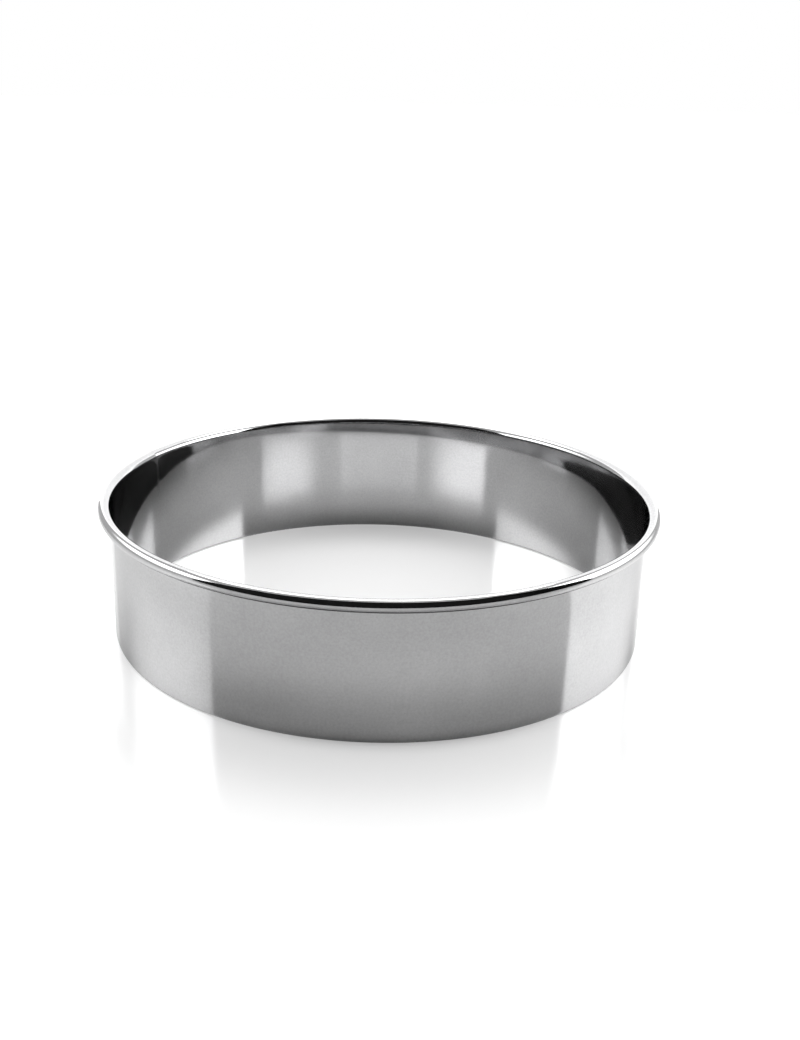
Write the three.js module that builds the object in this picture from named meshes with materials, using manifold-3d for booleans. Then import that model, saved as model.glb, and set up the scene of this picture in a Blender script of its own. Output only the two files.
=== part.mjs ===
// A round pastry ring of polished stainless sheet. Its base edge is plain, and its rim is rolled over a wire.
// Millimetres, +Z up. The origin is the middle of the base, and the front of the ring faces -Y.

import * as THREE from 'three';
import { mergeVertices } from 'three/addons/utils/BufferGeometryUtils.js';
import Module from 'manifold-3d';

// Driving dimensions. Azimuths are in degrees round from the front, positive to the right.
const WALL_OUTER_DIAMETER = 200;
const RING_HEIGHT = 51;
const SHEET_THICKNESS = 0.7;
const WIRE_DIAMETER = 3;
const WIRE_CLEARANCE = 0.1;
const LIP_GAP = 0.2;
const SEAM_AZIMUTH = -114;
const WELD_WIDTH = 1.2;
const WELD_CLEARANCE = 0.1;
const WIRE_JOINT_GAP = 0.5;

// The wire's ends meet straight across the ring from the seam, so that the two joints don't weaken one place.
const WIRE_JOINT_AZIMUTH = SEAM_AZIMUTH + 180;

// How finely the round forms are divided.
const RING_FACETS = 96;
const CURL_FACETS = 14;
const WIRE_FACETS = 12;

// Sizes that follow from the driving dimensions. The bead's inner side is flush with the wall's inside.
const WALL_OUTER_RADIUS = WALL_OUTER_DIAMETER / 2;
const WALL_INNER_RADIUS = WALL_OUTER_RADIUS - SHEET_THICKNESS;
const CURL_INNER_RADIUS = WIRE_DIAMETER / 2 + WIRE_CLEARANCE;
const BEAD_RADIUS = CURL_INNER_RADIUS + SHEET_THICKNESS;
const BEAD_CENTRE_RADIUS = WALL_INNER_RADIUS + BEAD_RADIUS;
const BEAD_CENTRE_HEIGHT = RING_HEIGHT - BEAD_RADIUS;
const BEAD_UNDERSIDE = BEAD_CENTRE_HEIGHT - BEAD_RADIUS;

// The rolled lip stops where the outside of the curl is LIP_GAP away from the wall.
const LIP_ANGLE = -Math.acos((SHEET_THICKNESS + LIP_GAP - BEAD_RADIUS) / BEAD_RADIUS);

const wasm = await Module();
wasm.setup();

function solidFrom(geometry) {
  geometry.deleteAttribute('normal');
  geometry.deleteAttribute('uv');
  const merged = mergeVertices(geometry);
  const vertProperties = new Float32Array(merged.attributes.position.array);
  const triVerts = new Uint32Array(merged.index.array);
  return new wasm.Manifold(new wasm.Mesh({ numProp: 3, vertProperties, triVerts }));
}

function geometryFrom(solid) {
  const { vertProperties, triVerts } = solid.getMesh();
  const geometry = new THREE.BufferGeometry();
  geometry.setAttribute('position', new THREE.BufferAttribute(vertProperties, 3));
  geometry.setIndex(new THREE.BufferAttribute(triVerts, 1));
  geometry.computeVertexNormals();
  return geometry;
}

// Turns a closed outline, drawn as radius and height, about the ring's axis.
function turnedSolid(outline) {
  const geometry = new THREE.LatheGeometry(outline, RING_FACETS);
  geometry.rotateX(Math.PI / 2);
  return solidFrom(geometry);
}

// A block that crosses the sheet and the wire at one azimuth, between two heights.
function crossingBlock(azimuth, width, bottom, top) {
  const depth = 4 * BEAD_RADIUS;
  const block = new THREE.BoxGeometry(width, depth, top - bottom);
  block.translate(0, -BEAD_CENTRE_RADIUS, (top + bottom) / 2);
  block.rotateZ(THREE.MathUtils.degToRad(azimuth));
  return solidFrom(block);
}

// The sheet's section: round inside the curl to the lip, back over the bead, and down and up the wall.
function sheetOutline() {
  const outline = new THREE.Path();
  outline.absarc(BEAD_CENTRE_RADIUS, BEAD_CENTRE_HEIGHT, CURL_INNER_RADIUS, Math.PI, LIP_ANGLE, true);
  outline.absarc(BEAD_CENTRE_RADIUS, BEAD_CENTRE_HEIGHT, BEAD_RADIUS, LIP_ANGLE, Math.PI, false);
  outline.lineTo(WALL_INNER_RADIUS, 0);
  outline.lineTo(WALL_OUTER_RADIUS, 0);
  outline.closePath();
  return outline.getPoints(CURL_FACETS / 2);
}

function wireOutline() {
  const outline = new THREE.Path();
  outline.absarc(BEAD_CENTRE_RADIUS, BEAD_CENTRE_HEIGHT, WIRE_DIAMETER / 2, 0, 2 * Math.PI, false);
  return outline.getPoints(WIRE_FACETS / 2);
}

// The strip's two ends face each other across the seam, from the base to the top of the rim.
function bandSolid(sheet) {
  const seamWidth = WELD_WIDTH + 2 * WELD_CLEARANCE;
  return sheet.subtract(crossingBlock(SEAM_AZIMUTH, seamWidth, -BEAD_RADIUS, RING_HEIGHT + BEAD_RADIUS));
}

// The welds are ground flush, so they have the sheet's own section. One runs up the wall to the bead.
function seamWeldSolid(sheet) {
  const top = BEAD_UNDERSIDE - WELD_CLEARANCE;
  return sheet.intersect(crossingBlock(SEAM_AZIMUTH, WELD_WIDTH, -BEAD_RADIUS, top));
}

// The other closes the curl, from the wall behind the bead round to the lip.
function rimWeldSolid(sheet) {
  const top = RING_HEIGHT + BEAD_RADIUS;
  return sheet.intersect(crossingBlock(SEAM_AZIMUTH, WELD_WIDTH, BEAD_UNDERSIDE, top));
}

// The wire is a hoop whose cut ends face each other across a narrow gap.
function wireSolid() {
  const joint = crossingBlock(WIRE_JOINT_AZIMUTH, WIRE_JOINT_GAP, BEAD_UNDERSIDE, RING_HEIGHT);
  return turnedSolid(wireOutline()).subtract(joint);
}

function metal(color, roughness) {
  return new THREE.MeshStandardMaterial({ color, roughness, metalness: 1 });
}

function addPiece(group, name, solid, material) {
  const mesh = new THREE.Mesh(geometryFrom(solid), material);
  mesh.name = name;
  group.add(mesh);
}

function buildRing() {
  const sheet = turnedSolid(sheetOutline());
  const ring = new THREE.Group();
  addPiece(ring, 'band', bandSolid(sheet), metal(0xc8c9cb, 0.08));
  addPiece(ring, 'rim_wire', wireSolid(), metal(0x9b9c9e, 0.45));
  addPiece(ring, 'seam_weld', seamWeldSolid(sheet), metal(0xb9babc, 0.2));
  addPiece(ring, 'rim_weld', rimWeldSolid(sheet), metal(0xb9babc, 0.2));
  return ring;
}

export default buildRing();
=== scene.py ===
"""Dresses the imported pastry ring: polished sheet, rim wire and seam welds, on a pale studio table."""
import math

import bmesh
import bpy
from bpy.props import FloatProperty, FloatVectorProperty, IntProperty, PointerProperty
from mathutils import Matrix, Vector


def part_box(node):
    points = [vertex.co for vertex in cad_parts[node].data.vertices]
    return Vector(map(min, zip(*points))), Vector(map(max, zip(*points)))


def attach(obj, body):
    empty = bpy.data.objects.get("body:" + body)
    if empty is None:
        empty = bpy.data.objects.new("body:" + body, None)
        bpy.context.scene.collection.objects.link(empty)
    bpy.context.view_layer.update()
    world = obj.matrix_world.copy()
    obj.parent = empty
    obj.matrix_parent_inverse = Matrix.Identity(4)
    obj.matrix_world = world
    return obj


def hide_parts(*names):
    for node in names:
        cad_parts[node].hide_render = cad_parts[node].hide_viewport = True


bl_info = {
    "name": "Pastry Ring",
    "version": (1, 0, 0),
    "blender": (4, 5, 0),
    "location": "View3D > Sidebar > Pastry Ring",
    "description": "Builds a polished pastry ring with a wired rim, and the table it stands on",
    "category": "Object",
}

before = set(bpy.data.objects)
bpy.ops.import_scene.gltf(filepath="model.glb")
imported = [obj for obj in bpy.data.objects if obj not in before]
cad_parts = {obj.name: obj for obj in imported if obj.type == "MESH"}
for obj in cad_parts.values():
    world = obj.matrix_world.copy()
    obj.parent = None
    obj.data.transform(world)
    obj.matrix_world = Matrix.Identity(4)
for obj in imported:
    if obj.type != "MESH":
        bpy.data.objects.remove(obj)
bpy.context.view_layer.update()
BODY = "root"

# Sizes that the frame gives. The wire's box is as tall as the wire is thick.
BAND_HIGH = Vector(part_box("band")[1])
WIRE_RADIUS = (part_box("rim_wire")[1][2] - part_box("rim_wire")[0][2]) / 2
SEAM_MIDDLE = (Vector(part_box("seam_weld")[0]) + Vector(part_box("seam_weld")[1])) / 2
SEAM_ANGLE = math.atan2(SEAM_MIDDLE.y, SEAM_MIDDLE.x)
WALL_RADIUS = SEAM_MIDDLE.xy.length

# Values for the meshes. Points within the tolerance count as one place, and each end of the wall has a row of
# points that lies a few of the edge's roundings further in. The table lies just under the base edge.
UP = Vector((0, 0, 1))
SHARP_ANGLE = math.radians(50)
TOLERANCE = 1e-6
SUPPORT_ROUNDS = 4
TABLE_SIDES = 96
TABLE_DROP = 0.00005

# Values of a noise: its middle, and those over which each kind of mark on the metal fades in.
NOISE_MIDDLE = 0.5
SMEARED = (0.42, 0.7)
LINED = (0.5, 0.8)
WORN = (0.35, 0.7)

# Distances from the axis over which the table changes its tone: the painted shade in the metal's second
# reflections towards the back and the front of the ring, the glow left out inside the ring and at its foot,
# which paints shade there, and the glow that grows to plain white away from the ring.
BACK_PAINTED_SHADE = (0.05 * WALL_RADIUS, 0.4 * WALL_RADIUS)
FRONT_PAINTED_SHADE = (0.55 * WALL_RADIUS, 0.75 * WALL_RADIUS)
FOOT_PAINTED_SHADE = (0.97 * WALL_RADIUS, 1.08 * WALL_RADIUS)
FAR_START = 1.3 * WALL_RADIUS

# Count of glossy bounces above which the metal shows the table a second time; there the table takes its
# painted shade.
SECOND_REFLECTION = 1.5

# How much each axis counts in the distance from the middle of a panel's light.
SIDE_AXES = (0, 1, 2)
ROOF_AXES = (0, 1, 0)
BACK_AXES = (1, 0, 0)

# Share of its reach over which a panel has its full strength.
FULL_LIGHT = 1 / 3


def length(name, description, default):
    return FloatProperty(name=name, description=description, default=default, unit="LENGTH", precision=5)


def share(name, description, default):
    return FloatProperty(
        name=name, description=description, default=default, min=0, max=1, subtype="FACTOR"
    )


def angle(name, description, default):
    return FloatProperty(name=name, description=description, default=default, subtype="ANGLE")


def tone(name, description, default):
    return FloatVectorProperty(
        name=name, description=description, default=default, subtype="COLOR", min=0, max=1
    )


def number(name, description, default):
    return FloatProperty(name=name, description=description, default=default, min=0)


def spot(name, description, default):
    return FloatVectorProperty(name=name, description=description, default=default, subtype="TRANSLATION")


def count(name, description, default):
    return IntProperty(name=name, description=description, default=default, min=2)


class RingSizes(bpy.types.PropertyGroup):
    """Sizes of the sheet, the rim and the seam."""

    sheet: length("Sheet", "Thickness of the sheet", 0.0007)
    wire_clearance: length("Wire clearance", "Room between the curl and its wire", 0.0001)
    wire_joint: length("Wire joint", "Gap between the ends of the wire", 0.0005)
    lip_gap: length("Lip gap", "Gap between the rolled lip and the wall", 0.0002)
    edge_round: length("Edge rounding", "Rounding on the base edge and on the lip", 0.00016)
    weld_width: length("Weld width", "Width of the ground weld", 0.0014)
    seam_flat: length("Seam flat", "Length of each flat end of the rim beside the seam", 0.011)
    flare: length("Flare", "How far the top of the rim leans out", 0.00055)
    flare_height: length("Flare height", "Height of the leaning part, with the rim", 0.012)
    flare_fade: angle("Flare fade", "Turn from the seam over which the flare comes up", 0.9)
    ring_steps: count("Steps round", "Divisions round the ring", 480)
    curl_steps: count("Steps in the curl", "Divisions round the bead", 52)
    wall_steps: count("Steps up the wall", "Divisions up the wall", 6)
    weld_steps: count("Steps in the weld", "Divisions across the weld", 8)
    wire_sides: count("Sides of the wire", "Divisions round the wire", 20)


class RingFinish(bpy.types.PropertyGroup):
    """Colours and polish of the metal."""

    sheet_tone: tone("Sheet", "Colour of the polished sheet", (0.60, 0.60, 0.605))
    weld_tone: tone("Weld", "Colour of the ground weld", (0.59, 0.59, 0.595))
    wire_tone: tone("Wire", "Colour of the drawn wire", (0.45, 0.45, 0.46))
    sheet_roughness: share("Sheet roughness", "Roughness of the polished sheet", 0.06)
    weld_roughness: share("Weld roughness", "Roughness of the ground weld", 0.12)
    wire_roughness: share("Wire roughness", "Roughness of the drawn wire", 0.4)
    edge_scuff: share("Edge scuff", "Roughness that wear adds along the base edge", 0.22)
    scuff_start: length("Scuff start", "Height up to which the base edge is fully worn", 0.0001)
    scuff_end: length("Scuff end", "Height at which the wear has faded out", 0.0012)
    line_count: number("Lines", "Polishing lines to a metre of height", 9000.0)
    line_breaks: number("Line breaks", "Changes in a polishing line to a metre round the ring", 30.0)
    smear_count: number("Smears", "Soft smears to a metre", 38.0)
    grain_count: number("Grain", "Specks of the grain to a metre", 1300.0)
    wave_count: number("Waves", "Shallow waves to a metre", 22.0)
    line_shade: share("Line shade", "How far the polishing lines change the colour", 0.1)
    smear_shade: share("Smear shade", "How far the smears change the colour", 0.25)
    grain_shade: share("Grain shade", "How far the grain changes the colour", 0.3)
    line_roughness: share("Line roughness", "Roughness that the polishing lines add", 0.04)
    smear_roughness: share("Smear roughness", "Roughness that the smears add", 0.03)
    line_depth: length("Line depth", "Depth of the polishing lines", 0.0000006)
    wave_depth: length("Wave depth", "Depth of the shallow waves", 0.00003)


class StudioSettings(bpy.types.PropertyGroup):
    """Table, light tent and camera."""

    table_tone: tone("Table", "Colour of the table", (0.68, 0.68, 0.68))
    table_ior: number("Table gloss", "Index of refraction of the table's polish", 1.8)
    table_roughness: share("Table roughness", "Roughness of the table's polish", 0.13)
    # Painted shade: in the metal's second reflections the table turns matt and dark, darkest towards the back
    # between its left and right ends, less towards the front and least in the middle.
    painted_shade_tone: tone("Deep table", "Dark of the table in the metal's second reflections", (0.065,) * 3)
    painted_shade_middle: share("Deep middle", "Share of that dark inside the middle of the ring", 0.3)
    painted_shade_front: share("Deep front", "Share of that dark inside the front of the ring", 0.7)
    painted_shade_back: share("Deep back", "Share of that dark inside the back of the ring", 1.0)
    painted_shade_left: length("Deep left", "Left end of the dark inside the back, from the axis", -0.069)
    painted_shade_right: length("Deep right", "Right end of the dark inside the back, from the axis", 0.064)
    painted_shade_edge: length("Deep edge", "Half of the soft edge of each of these ends", 0.002)
    table_lift: share("Table lift", "Glow that makes the table white to the camera", 0.31)
    # Painted shade: this glow is left out inside the ring and at its foot, so they look darker; the metal
    # mirrors a share of it.
    lift_past_foot_shade: share("Open lift", "Glow that the table gains just outside the ring", 0.18)
    mirror_lift: share("Mirror lift", "Share of the open lift which the metal mirrors", 0.55)
    far_reach: length("Far reach", "Distance from the axis at which the camera sees plain white", 0.42)
    table_radius: length("Table radius", "How far the table runs", 5.0)
    tent_low: spot("Tent corner", "Left front corner of the light tent, on the table", (-0.42, -0.25, 0.0))
    tent_high: spot("Tent far corner", "Right back corner of the tent, under its roof", (0.38, 0.55, 0.75))
    room_tone: tone("Room", "Colour of the dark room in front of the tent", (0.01, 0.01, 0.01))
    left_start: length("Left start", "Where the left panel starts, from the ring's axis", -0.20)
    right_start: length("Right start", "Where the right panel starts, from the ring's axis", -0.09)
    left_spot: spot("Left spot", "Middle of the lamp's spot on the left panel", (-0.42, -0.02, 0.255))
    left_light: number("Left light", "Strength of the left panel where its lamp shines on it", 4.9)
    left_reach: length("Left reach", "Distance from its spot at which the left panel is dim", 0.32)
    right_spot: spot("Right spot", "Middle of the lamp's spot on the right panel", (0.38, -0.02, 0.25))
    right_light: number("Right light", "Strength of the right panel where its lamp shines on it", 5.4)
    right_reach: length("Right reach", "Distance from its spot at which the right panel is dim", 0.42)
    side_dim: share("Side dimming", "Strength of a side panel far from its lamp, as a share", 0.12)
    roof_light: number("Roof light", "Strength of the roof at the back", 5.0)
    roof_dim: share("Roof dimming", "Strength of the roof at the front, as a share", 0.12)
    roof_reach: length("Roof reach", "Distance from the back at which the roof is dim", 0.5)
    back_light: number("Back light", "Strength of the back panel in its middle", 1.4)
    back_gain: number("Back gain", "How many times brighter the back panel is at its sides", 1.3)
    back_reach: length("Back reach", "Distance from the middle at which the back panel has that gain", 0.42)
    camera_distance: length("Camera distance", "From the ring's axis to the camera", 0.44953)
    camera_height: length("Camera height", "From the table to the camera", 0.20441)
    camera_yaw: angle("Camera yaw", "Turn of the view to the right", -0.001)
    camera_pitch: angle("Camera pitch", "Tilt of the view below level", 0.3935)
    camera_roll: angle("Camera roll", "Turn of the picture about the view", 0.0244)
    camera_lens: FloatProperty(name="Lens", description="Focal length", default=43.555, unit="CAMERA")
    camera_shift: FloatVectorProperty(
        name="Camera shift",
        description="Sideways and upward shift of the frame",
        size=2,
        default=(0.02295, 0.0492),
    )


class Signal:
    """A shader socket that takes part in Python arithmetic. Each operation adds its node to the tree."""

    def __init__(self, tree, socket):
        self.tree = tree
        self.socket = socket

    def make(self, kind, settings=None, output=0, **inputs):
        """Adds a node of any kind to the same tree."""
        return add_node(self.tree, kind, settings, output, **inputs)

    def math(self, operation, other):
        return self.make("ShaderNodeMath", {"operation": operation}, i0=self, i1=other)

    def __add__(self, other):
        return self.math("ADD", other)

    __radd__ = __add__

    def __mul__(self, other):
        return self.math("MULTIPLY", other)

    __rmul__ = __mul__

    def __sub__(self, other):
        return self.math("SUBTRACT", other)

    def __rsub__(self, other):
        return self.make("ShaderNodeMath", {"operation": "SUBTRACT"}, i0=other, i1=self)

    def noise(self, scale, detail, roughness=0.5):
        """Soft noise, with this socket as its place."""
        return self.make("ShaderNodeTexNoise", Vector=self, Scale=scale, Detail=detail, Roughness=roughness)

    def ramp(self, start, end):
        """Runs smoothly from 0 at start to 1 at end."""
        settings = {"interpolation_type": "SMOOTHSTEP"}
        return self.make("ShaderNodeMapRange", settings, i0=self, i1=start, i2=end)


def add_node(tree, kind, settings=None, output=0, **inputs):
    """Adds a node and returns one of its outputs.

    Inputs are named by place, as i0 and i1, or by the socket's name with _ for each space.
    """
    node = tree.nodes.new(kind)
    for name, value in (settings or {}).items():
        setattr(node, name, value)
    for name, value in inputs.items():
        by_place = name[0] == "i" and name[1:].isdigit()
        socket = node.inputs[int(name[1:])] if by_place else node.inputs[name.replace("_", " ")]
        if isinstance(value, Signal):
            tree.links.new(value.socket, socket)
        else:
            socket.default_value = value
    return Signal(tree, node.outputs[output])


def new_material(name):
    material = bpy.data.materials.new(name)
    material.use_nodes = True
    material.node_tree.nodes.clear()
    return material


def use_shader(material, shader):
    output = material.node_tree.nodes.new("ShaderNodeOutputMaterial")
    material.node_tree.links.new(shader.socket, output.inputs["Surface"])
    return material


def steel_material(finish, name, steel_tone, roughness, scuff):
    """Polished steel: fine lines round the ring, grain, soft smears and shallow waves.

    The edge that the ring stands on is scuffed.
    """
    material = new_material(name)
    place = add_node(material.node_tree, "ShaderNodeTexCoord", None, "Object")
    x, y, height = (place.make("ShaderNodeSeparateXYZ", None, axis, Vector=place) for axis in "XYZ")
    around = y.math("ARCTAN2", x) * BAND_HIGH.x
    unrolled = place.make(
        "ShaderNodeCombineXYZ", X=around * finish.line_breaks, Y=height * finish.line_count
    )
    lines = unrolled.noise(scale=1.0, detail=3.0)
    smears = place.noise(finish.smear_count, detail=4.0, roughness=0.6)
    grain = place.noise(finish.grain_count, detail=2.0)
    waves = place.noise(finish.wave_count, detail=1.0)
    base_wear = (1 - height.ramp(finish.scuff_start, finish.scuff_end)) * grain.ramp(*WORN)
    smear_shade = (smears - NOISE_MIDDLE) * finish.smear_shade
    line_shade = (lines - NOISE_MIDDLE) * finish.line_shade
    grain_shade = (grain - NOISE_MIDDLE) * finish.grain_shade
    shade = grey(smear_shade + line_shade + grain_shade + 1.0)
    settings = {"data_type": "RGBA", "blend_type": "MULTIPLY"}
    shaded = place.make("ShaderNodeMix", settings, 2, i0=1.0, i6=(*steel_tone, 1), i7=shade)
    smear_rough = smears.ramp(*SMEARED) * finish.smear_roughness
    line_rough = lines.ramp(*LINED) * finish.line_roughness
    rough = smear_rough + line_rough + base_wear * scuff + roughness
    relief = waves * finish.wave_depth + lines * finish.line_depth
    bump = place.make("ShaderNodeBump", Strength=1.0, Distance=1.0, Height=relief)
    sockets = {"Base_Color": shaded, "Metallic": 1.0, "Roughness": rough, "Normal": bump}
    return use_shader(material, place.make("ShaderNodeBsdfPrincipled", **sockets))


def grey(value):
    """Turns a value into a colour socket's grey."""
    return value.make("ShaderNodeCombineColor", Red=value, Green=value, Blue=value)


def table_material(studio):
    """Pale, polished table. A glow makes it white to the camera, and its shadows stay.
    Part of that glow is left out inside the ring and at its foot, which paints shade there;
    the metal mirrors a share of it.

    In the metal's second reflections it is matt and dark inside the back and the front of the ring,
    which is painted shade.
    """
    material = new_material("table")
    material.cycles.emission_sampling = "NONE"
    tree = material.node_tree
    place = add_node(tree, "ShaderNodeTexCoord", None, "Object")
    flat = place.make("ShaderNodeVectorMath", {"operation": "MULTIPLY"}, i0=place, i1=(1, 1, 0))
    radius = place.make("ShaderNodeVectorMath", {"operation": "LENGTH"}, 1, i0=flat)
    camera, glossy, transmission, depth = (
        add_node(tree, "ShaderNodeLightPath", None, name)
        for name in ("Is Camera Ray", "Is Glossy Ray", "Is Transmission Ray", "Glossy Depth")
    )
    # Painted shade: the glow is left out inside the ring and at its foot, and the metal mirrors a share of
    # it.
    glow_past_foot_shade = radius.ramp(*FOOT_PAINTED_SHADE) * studio.lift_past_foot_shade
    white = radius.ramp(FAR_START, studio.far_reach)
    mirrored = (glossy + transmission) * studio.mirror_lift
    glow = camera * (studio.table_lift + glow_past_foot_shade + white) + mirrored * glow_past_foot_shade
    polished = place.make(
        "ShaderNodeBsdfPrincipled",
        Base_Color=(*studio.table_tone, 1),
        Roughness=studio.table_roughness,
        IOR=studio.table_ior,
        Emission_Color=grey(glow),
        Emission_Strength=1.0,
    )
    # Painted shade: in the metal's second reflections the table turns matt and dark.
    painted_shade_matt = place.make("ShaderNodeBsdfDiffuse", Color=(*studio.painted_shade_tone, 1))
    painted_shade_mix = depth.math("GREATER_THAN", SECOND_REFLECTION) * painted_shade_share(place, studio)
    return use_shader(material, place.make("ShaderNodeMixShader", i0=painted_shade_mix, i1=polished, i2=painted_shade_matt))


def painted_shade_share(place, studio):
    """How dark the painted shade makes each place on the table in the metal's second reflections."""
    x, y = (place.make("ShaderNodeSeparateXYZ", None, axis, Vector=place) for axis in "XY")
    starts = x.ramp(studio.painted_shade_left - studio.painted_shade_edge, studio.painted_shade_left + studio.painted_shade_edge)
    ends = x.ramp(studio.painted_shade_right - studio.painted_shade_edge, studio.painted_shade_right + studio.painted_shade_edge)
    back = y.ramp(*BACK_PAINTED_SHADE) * starts * (1 - ends)
    front = (0 - y).ramp(*FRONT_PAINTED_SHADE)
    more_back = studio.painted_shade_back - studio.painted_shade_middle
    more_front = studio.painted_shade_front - studio.painted_shade_middle
    return studio.painted_shade_middle + back * more_back + front * more_front


def panel_material(name, middle, axes, reach, strength, beyond):
    """Lit tent fabric: its full strength round the middle, and the strength times beyond past its reach."""
    material = new_material(name)
    place = add_node(material.node_tree, "ShaderNodeTexCoord", None, "Object")
    offset = place.make("ShaderNodeVectorMath", {"operation": "SUBTRACT"}, i0=place, i1=middle)
    counted = place.make("ShaderNodeVectorMath", {"operation": "MULTIPLY"}, i0=offset, i1=axes)
    away = place.make("ShaderNodeVectorMath", {"operation": "LENGTH"}, 1, i0=counted)
    light = grey((1 - away.ramp(reach * FULL_LIGHT, reach)) * (1 - beyond) + beyond)
    fabric = place.make(
        "ShaderNodeBsdfPrincipled",
        Base_Color=(0, 0, 0, 1),
        Specular_IOR_Level=0.0,
        Emission_Color=light,
        Emission_Strength=strength,
    )
    return use_shader(material, fabric)


def dark_material(studio):
    """The dark room in front of the tent."""
    material = new_material("dark_room")
    dark = add_node(material.node_tree, "ShaderNodeBsdfDiffuse", Color=(*studio.room_tone, 1))
    return use_shader(material, dark)


class Section:
    """The sheet's section: a straight wall, and a bead whose inner side is flush with the wall's inside.

    The curl turns round the bead until its lip is a lip gap away from the outside of the wall.
    """

    def __init__(self, sizes):
        self.bead = WIRE_RADIUS + sizes.wire_clearance + sizes.sheet
        self.inner = BAND_HIGH.x - 2 * self.bead
        self.centre = Vector((self.inner + self.bead, 0, BAND_HIGH.z - self.bead))
        self.underside = self.centre.z - self.bead
        self.turn = math.pi + math.acos((sizes.sheet + sizes.lip_gap - self.bead) / self.bead)


def draw_line(bm, vert, height, steps):
    """Draws straight up from vert to height and returns the upper end."""
    foot = vert.co.copy()
    for step in range(1, steps + 1):
        vert = bmesh.ops.extrude_vert_indiv(bm, verts=[vert])["verts"][0]
        vert.co = foot.lerp(Vector((foot.x, foot.y, height)), step / steps)
    return vert


def draw_face(bm, sizes, bottom, top, with_curl):
    """Draws one face of the sheet: up the inside of the wall and, with a curl, round the bead to the lip."""
    section = Section(sizes)
    support = SUPPORT_ROUNDS * sizes.edge_round
    vert = bmesh.ops.create_vert(bm, co=(section.inner, 0, bottom))["vert"][0]
    vert = draw_line(bm, vert, bottom + support, 1)
    vert = draw_line(bm, vert, max(bottom + 2 * support, top - sizes.flare_height), sizes.wall_steps)
    vert = draw_line(bm, vert, top - support, sizes.wall_steps)
    vert = draw_line(bm, vert, top, 1)
    if with_curl:
        bmesh.ops.spin(
            bm, geom=[vert], cent=section.centre, axis=(0, 1, 0), angle=section.turn, steps=sizes.curl_steps
        )


def runs_round(edge):
    """True where an edge follows the ring round at one height and one distance from the axis."""
    one, two = (vert.co for vert in edge.verts)
    return abs(one.z - two.z) < TOLERANCE and abs(one.xy.length - two.xy.length) < TOLERANCE


def spin_sheet(bm, sizes, start, sweep, steps):
    """Spins the drawn face round the ring, gives it the sheet's thickness and rounds its long free edges.

    The edges at the height where the two welds meet aren't free.
    """
    bmesh.ops.rotate(bm, cent=(0, 0, 0), matrix=Matrix.Rotation(start, 3, "Z"), verts=bm.verts)
    drawn = bm.verts[:] + bm.edges[:]
    bmesh.ops.spin(bm, geom=drawn, cent=(0, 0, 0), axis=UP, angle=sweep, steps=steps)
    bmesh.ops.recalc_face_normals(bm, faces=bm.faces)
    lowest = min(bm.faces, key=lambda face: face.calc_center_median().z)
    if lowest.normal.dot(lowest.calc_center_median()) > 0:
        bmesh.ops.reverse_faces(bm, faces=bm.faces)
    bmesh.ops.solidify(bm, geom=bm.faces[:], thickness=sizes.sheet)
    bmesh.ops.recalc_face_normals(bm, faces=bm.faces)
    sharp = [edge for edge in bm.edges if runs_round(edge) and edge.calc_face_angle(0) > SHARP_ANGLE]
    meeting = Section(sizes).underside
    free = [edge for edge in sharp if abs(edge.verts[0].co.z - meeting) > TOLERANCE]
    bmesh.ops.bevel(
        bm,
        geom=free,
        offset=sizes.edge_round,
        offset_type="OFFSET",
        affect="EDGES",
        segments=3,
        profile=0.5,
        material=-1,
    )


def angle_from_seam(point):
    turn = math.atan2(point.y, point.x) - SEAM_ANGLE
    return abs((turn + math.pi) % (2 * math.pi) - math.pi)


def settle_shape(bm, sizes):
    """Shapes the sheet as its rolls leave it: the top leans out a little, less so near the seam.

    The rolls can't bend the last stretch of the rim, so its flat ends meet in a slight peak.
    """
    start = BAND_HIGH.z - sizes.flare_height
    for vert in bm.verts:
        distance = vert.co.xy.length
        turn = angle_from_seam(vert.co)
        flat_left = max(0, sizes.seam_flat / distance - turn)
        flare = sizes.flare * (1 - math.exp(-(turn / sizes.flare_fade) ** 2))
        height = max(0, vert.co.z - start) / sizes.flare_height
        vert.co.xy *= 1 + (flat_left ** 2 / 2 + flare / distance) * height ** 2


def finish_piece(bm, name, material, node):
    """Makes the mesh a smooth, closed piece that stands for its CAD node."""
    if any(not edge.is_manifold for edge in bm.edges):
        raise RuntimeError(f"{name} isn't closed")
    mesh = bpy.data.meshes.new(name)
    bm.to_mesh(mesh)
    bm.free()
    mesh.shade_smooth()
    mesh.set_sharp_from_angle(angle=SHARP_ANGLE)
    mesh.materials.append(material)
    piece = bpy.data.objects.new(name, mesh)
    bpy.context.scene.collection.objects.link(piece)
    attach(piece, BODY)
    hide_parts(node)


class PASTRYRING_OT_band(bpy.types.Operator):
    """Build the polished sheet: the wall with its rolled rim, open at the seam"""

    bl_idname = "pastry_ring.band"
    bl_label = "Polished Band"

    def execute(self, context):
        sizes = context.scene.pastry_ring_sizes
        finish = context.scene.pastry_ring_finish
        section = Section(sizes)
        half_seam = sizes.weld_width / 2 / section.inner
        bm = bmesh.new()
        draw_face(bm, sizes, 0, section.centre.z, True)
        spin_sheet(bm, sizes, SEAM_ANGLE + half_seam, 2 * (math.pi - half_seam), sizes.ring_steps)
        settle_shape(bm, sizes)
        material = steel_material(
            finish, "polished_sheet", finish.sheet_tone, finish.sheet_roughness, finish.edge_scuff
        )
        finish_piece(bm, "polished_band", material, "band")
        return {"FINISHED"}


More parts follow.
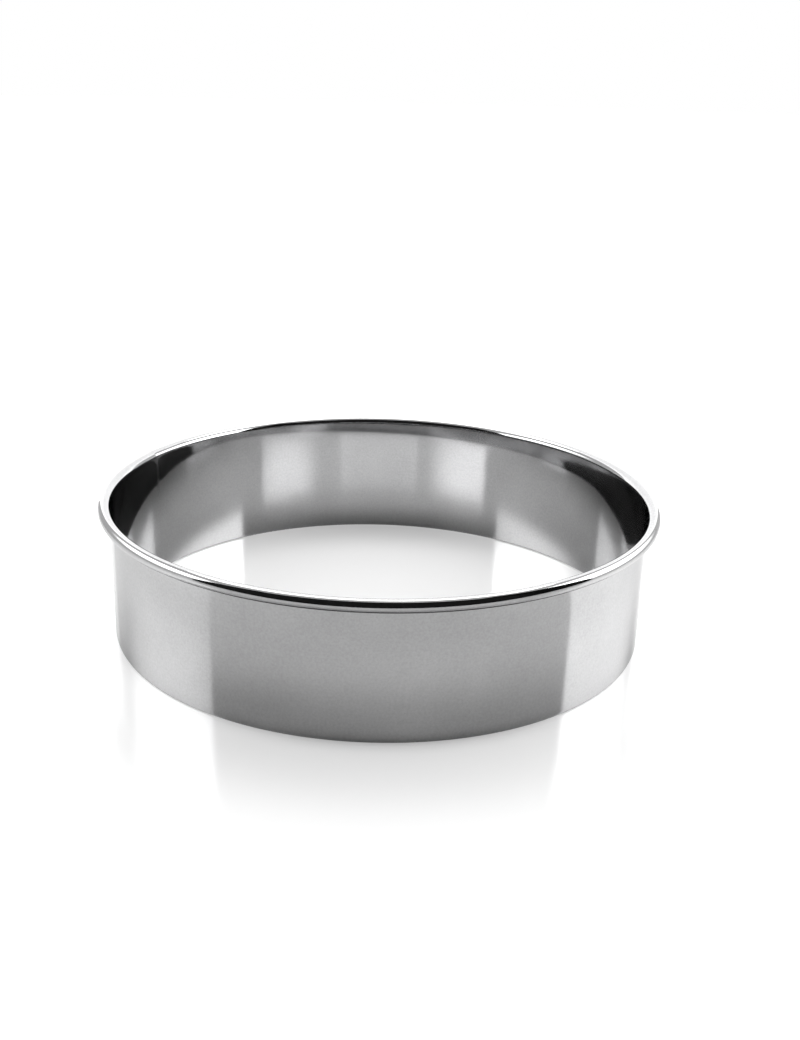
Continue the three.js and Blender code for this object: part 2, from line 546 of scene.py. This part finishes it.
class PASTRYRING_OT_welds(bpy.types.Operator):
    """Build the ground welds that close the seam in the wall and in the rim"""

    bl_idname = "pastry_ring.welds"
    bl_label = "Seam Welds"

    def execute(self, context):
        sizes = context.scene.pastry_ring_sizes
        finish = context.scene.pastry_ring_finish
        section = Section(sizes)
        half_seam = sizes.weld_width / 2 / section.inner
        material = steel_material(
            finish, "ground_weld", finish.weld_tone, finish.weld_roughness, finish.edge_scuff
        )
        runs = (
            ("wall_weld_run", "seam_weld", 0, section.underside, False),
            ("rim_weld_run", "rim_weld", section.underside, section.centre.z, True),
        )
        for name, node, bottom, top, with_curl in runs:
            bm = bmesh.new()
            draw_face(bm, sizes, bottom, top, with_curl)
            spin_sheet(bm, sizes, SEAM_ANGLE - half_seam, 2 * half_seam, sizes.weld_steps)
            settle_shape(bm, sizes)
            finish_piece(bm, name, material, node)
        return {"FINISHED"}


class PASTRYRING_OT_wire(bpy.types.Operator):
    """Build the wire hoop inside the rolled rim, with its ends across the ring from the seam"""

    bl_idname = "pastry_ring.wire"
    bl_label = "Rim Wire"

    def execute(self, context):
        sizes = context.scene.pastry_ring_sizes
        finish = context.scene.pastry_ring_finish
        centre = Section(sizes).centre
        half_joint = sizes.wire_joint / 2 / centre.x
        upright = Matrix.Translation(centre) @ Matrix.Rotation(math.pi / 2, 4, "X")
        start = Matrix.Rotation(SEAM_ANGLE + math.pi + half_joint, 4, "Z")
        bm = bmesh.new()
        bmesh.ops.create_circle(bm, segments=sizes.wire_sides, radius=WIRE_RADIUS, matrix=start @ upright)
        drawn = bm.verts[:] + bm.edges[:]
        sweep = 2 * (math.pi - half_joint)
        hidden_steps = sizes.ring_steps // 2
        bmesh.ops.spin(bm, geom=drawn, cent=(0, 0, 0), axis=UP, angle=sweep, steps=hidden_steps)
        bmesh.ops.holes_fill(bm, edges=bm.edges)
        bmesh.ops.recalc_face_normals(bm, faces=bm.faces)
        settle_shape(bm, sizes)
        material = steel_material(finish, "drawn_wire", finish.wire_tone, finish.wire_roughness, 0)
        finish_piece(bm, "rim_wire_hoop", material, "rim_wire")
        return {"FINISHED"}


def add_stage_card(name, material, low, high):
    """Adds a flat card between two corners of the tent, which the camera sees through."""
    low, high = Vector(low), Vector(high)
    bm = bmesh.new()
    place = Matrix.Translation((low + high) / 2) @ Matrix.Diagonal((*(high - low), 1))
    bmesh.ops.create_cube(bm, size=1, matrix=place)
    bmesh.ops.remove_doubles(bm, verts=bm.verts, dist=TOLERANCE)
    mesh = bpy.data.meshes.new(name)
    bm.to_mesh(mesh)
    bm.free()
    mesh.materials.append(material)
    card = bpy.data.objects.new(name, mesh)
    card.visible_camera = False
    bpy.context.scene.collection.objects.link(card)


class PASTRYRING_OT_studio(bpy.types.Operator):
    """Set the pale table, the light tent and the camera"""

    bl_idname = "pastry_ring.studio"
    bl_label = "Studio"

    def execute(self, context):
        studio = context.scene.pastry_ring_studio
        self.add_table(studio)
        self.add_world()
        self.add_tent(studio)
        self.add_camera(context.scene, studio)
        context.scene.view_settings.view_transform = "Standard"
        return {"FINISHED"}

    def add_table(self, studio):
        bm = bmesh.new()
        bmesh.ops.create_circle(bm, cap_ends=True, segments=TABLE_SIDES, radius=studio.table_radius)
        bmesh.ops.translate(bm, verts=bm.verts, vec=-TABLE_DROP * UP)
        mesh = bpy.data.meshes.new("table")
        bm.to_mesh(mesh)
        bm.free()
        mesh.materials.append(table_material(studio))
        table = bpy.data.objects.new("table", mesh)
        bpy.context.scene.collection.objects.link(table)

    def add_world(self):
        world = bpy.data.worlds.new("white_room")
        world.use_nodes = True
        background = world.node_tree.nodes["Background"]
        background.inputs["Color"].default_value = (1, 1, 1, 1)
        background.inputs["Strength"].default_value = 1
        bpy.context.scene.world = world

    def add_tent(self, studio):
        low, high = Vector(studio.tent_low), Vector(studio.tent_high)
        left = panel_material(
            "left_panel",
            studio.left_spot,
            SIDE_AXES,
            studio.left_reach,
            studio.left_light,
            studio.side_dim,
        )
        right = panel_material(
            "right_panel",
            studio.right_spot,
            SIDE_AXES,
            studio.right_reach,
            studio.right_light,
            studio.side_dim,
        )
        roof = panel_material("roof", high, ROOF_AXES, studio.roof_reach, studio.roof_light, studio.roof_dim)
        back = panel_material(
            "back_panel", (0, 0, 0), BACK_AXES, studio.back_reach, studio.back_light, studio.back_gain
        )
        dark = dark_material(studio)
        add_stage_card("left_panel", left, (low.x, studio.left_start, low.z), (low.x, high.y, high.z))
        add_stage_card("right_panel", right, (high.x, studio.right_start, low.z), high)
        add_stage_card("roof", roof, (low.x, low.y, high.z), high)
        add_stage_card("back_panel", back, (low.x, high.y, low.z), high)
        add_stage_card("dark_front", dark, low, (high.x, low.y, high.z))
        add_stage_card("dark_left", dark, low, (low.x, studio.left_start, high.z))
        add_stage_card("dark_right", dark, (high.x, low.y, low.z), (high.x, studio.right_start, high.z))

    def add_camera(self, scene, studio):
        data = bpy.data.cameras.new("camera")
        data.lens = studio.camera_lens
        data.shift_x, data.shift_y = studio.camera_shift
        camera = bpy.data.objects.new("camera", data)
        level = math.pi / 2 - studio.camera_pitch
        look = Matrix.Rotation(-studio.camera_yaw, 4, "Z") @ Matrix.Rotation(level, 4, "X")
        roll = Matrix.Rotation(studio.camera_roll, 4, "Z")
        place = Matrix.Translation((0, -studio.camera_distance, studio.camera_height))
        camera.matrix_world = place @ look @ roll
        scene.collection.objects.link(camera)
        scene.camera = camera


OPERATORS = (PASTRYRING_OT_band, PASTRYRING_OT_welds, PASTRYRING_OT_wire, PASTRYRING_OT_studio)


class PASTRYRING_PT_panel(bpy.types.Panel):
    """The ring's steps and settings"""

    bl_idname = "PASTRYRING_PT_panel"
    bl_label = "Pastry Ring"
    bl_space_type = "VIEW_3D"
    bl_region_type = "UI"
    bl_category = "Pastry Ring"

    def draw(self, context):
        for operator in OPERATORS:
            self.layout.operator(operator.bl_idname)
        scene = context.scene
        for group in (scene.pastry_ring_sizes, scene.pastry_ring_finish, scene.pastry_ring_studio):
            box = self.layout.box()
            for name in group.__annotations__:
                box.prop(group, name)


GROUPS = (RingSizes, RingFinish, StudioSettings)
CLASSES = (*GROUPS, *OPERATORS, PASTRYRING_PT_panel)


def register():
    for cls in CLASSES:
        bpy.utils.register_class(cls)
    bpy.types.Scene.pastry_ring_sizes = PointerProperty(type=RingSizes)
    bpy.types.Scene.pastry_ring_finish = PointerProperty(type=RingFinish)
    bpy.types.Scene.pastry_ring_studio = PointerProperty(type=StudioSettings)


def unregister():
    del bpy.types.Scene.pastry_ring_studio
    del bpy.types.Scene.pastry_ring_finish
    del bpy.types.Scene.pastry_ring_sizes
    for cls in reversed(CLASSES):
        bpy.utils.unregister_class(cls)


def main():
    register()
    bpy.ops.pastry_ring.studio()
    bpy.ops.pastry_ring.band()
    bpy.ops.pastry_ring.welds()
    bpy.ops.pastry_ring.wire()


if __name__ == "__main__":
    main()
